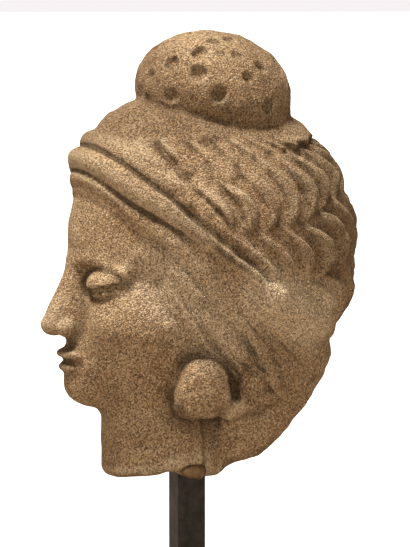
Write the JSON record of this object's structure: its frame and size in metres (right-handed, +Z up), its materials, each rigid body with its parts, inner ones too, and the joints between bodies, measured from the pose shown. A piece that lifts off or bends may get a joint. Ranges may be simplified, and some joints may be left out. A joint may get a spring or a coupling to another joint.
{
  "type": "stucco head sculpture",
  "caption": "Broken stucco head with a pitted topknot, rolled fillet and twisted rows of hair, standing on a square steel post in a flat foot plate.",
  "frame": {"origin": "on the underside of the foot plate, on the post's axis", "axes": "+Z up along the post, -Y the way the face looks, +X the head's left side"},
  "size_m": [0.1293, 0.1694, 0.3098],
  "materials": {
    "stucco": "matte, coarse and sandy",
    "filler": "dull brown resin",
    "steel": "dark, satin"
  },
  "bodies": {
    "root": {"stucco_head": "stucco", "fixing_filler": "filler", "post": "steel", "foot_plate": "steel"}
  },
  "joints": []
}
